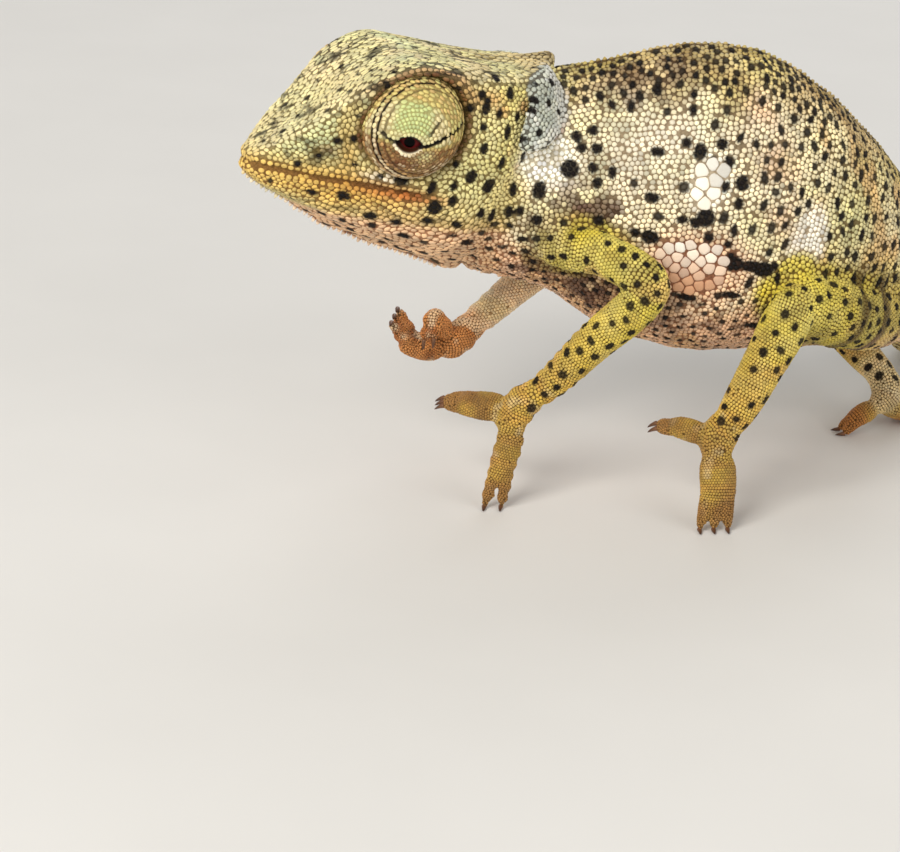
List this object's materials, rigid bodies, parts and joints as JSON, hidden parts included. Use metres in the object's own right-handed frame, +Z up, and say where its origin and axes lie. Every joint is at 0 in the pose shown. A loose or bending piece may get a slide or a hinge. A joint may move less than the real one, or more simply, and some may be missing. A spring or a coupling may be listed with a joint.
{
  "type": "flap-necked chameleon",
  "caption": "Life-size still model of a young flap-necked chameleon, striding with one forefoot raised and its tail curled on the floor.",
  "frame": {"origin": "centre of the bounding box's base, on the floor plane that the feet and tail rest on", "axes": "+Z up; -X is roughly the way the trunk faces, with the head turned toward -Y; the animal's left side is toward -Y; +X is the longest extent and +Z the shortest"},
  "size_m": [0.093, 0.07, 0.0431],
  "materials": {
    "skin": "satin",
    "foot_skin": "satin",
    "lid_skin": "satin",
    "flap_skin": "satin",
    "eye": "gloss",
    "claw": "satin"
  },
  "bodies": {
    "root": {"head": "skin", "lower_jaw": "skin", "neck": "skin", "trunk_front": "skin", "trunk_rear": "skin", "pelvis": "skin", "tail_1": "skin", "tail_2": "skin", "tail_3": "skin", "tail_4": "skin", "tail_5": "skin", "upper_arm_left": "skin", "forearm_left": "skin", "upper_arm_right": "skin", "forearm_right": "skin", "thigh_left": "skin", "shank_left": "skin", "thigh_right": "skin", "shank_right": "skin", "forefoot_left": "foot_skin", "forefoot_right": "foot_skin", "hindfoot_left": "foot_skin", "hindfoot_right": "foot_skin", "eye_left": "lid_skin", "eye_right": "lid_skin", "occipital_lobe_left": "flap_skin", "occipital_lobe_right": "flap_skin"}
  },
  "joints": []
}
